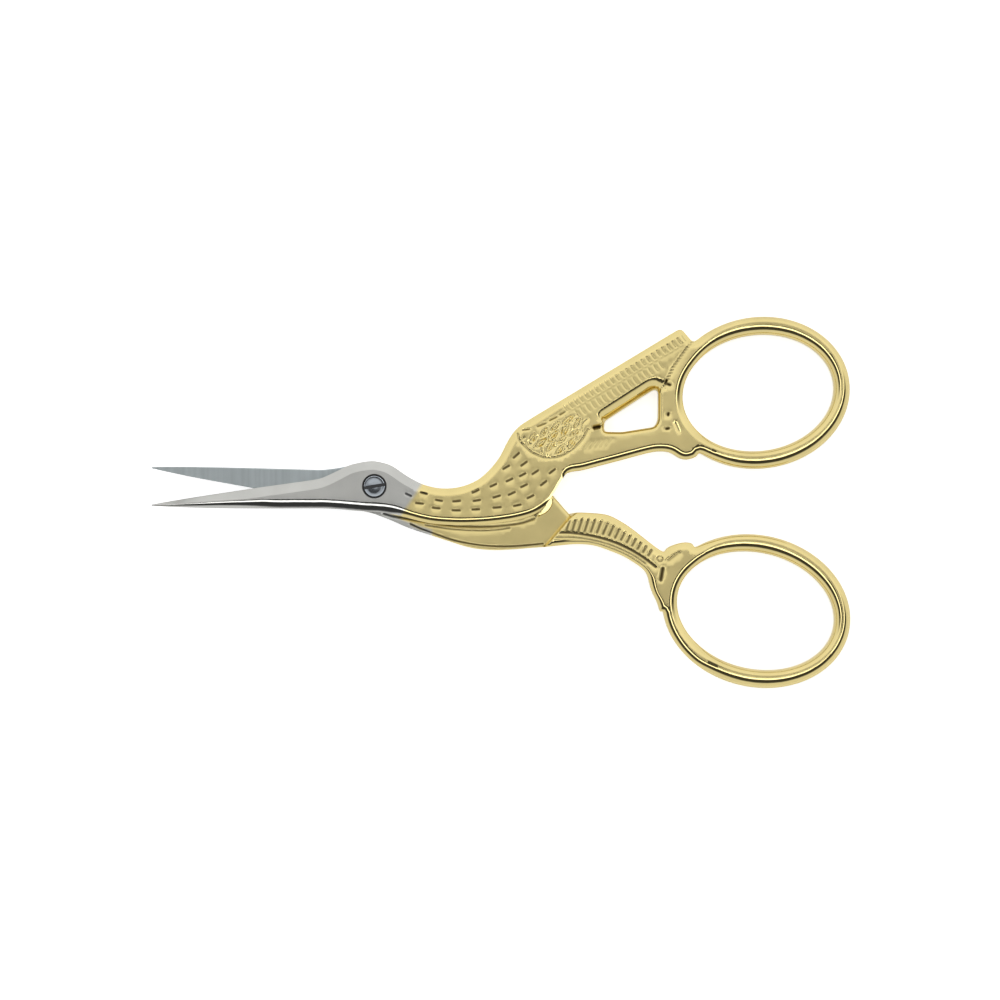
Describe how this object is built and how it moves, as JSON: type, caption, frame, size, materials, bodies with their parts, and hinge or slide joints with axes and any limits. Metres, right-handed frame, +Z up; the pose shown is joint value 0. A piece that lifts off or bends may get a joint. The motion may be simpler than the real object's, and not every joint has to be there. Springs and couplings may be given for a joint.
{
  "type": "stork embroidery scissors",
  "caption": "Small embroidery scissors shaped like a stork: steel blades for the beak, gilded body, wing and legs, and oval finger rings.",
  "frame": {"origin": "on the pivot axis, at the level of the table that the scissors lie on", "axes": "+X from the pivot to the finger rings, along the bisector of the two blades; +Y towards the front half's ring; +Z up through the screw head"},
  "size_m": [0.0901, 0.0479, 0.0033],
  "materials": {
    "steel": "satin ground steel with a polished lower edge",
    "gold": "pale gold plating over forged steel, satin on the flats and bright on the rims",
    "screw": "bright turned steel"
  },
  "bodies": {
    "rear_half": {"rear_blade": "steel", "rear_handle": "gold", "pivot_screw": "screw"},
    "front_half": {"front_blade": "steel", "front_handle": "gold"}
  },
  "joints": [
    {"name": "pivot", "type": "hinge", "parent": "rear_half", "child": "front_half", "pos_m": [0, 0, 0.00162], "axis": [0, 0, 1], "range_deg": [-9.6, 120]}
  ]
}
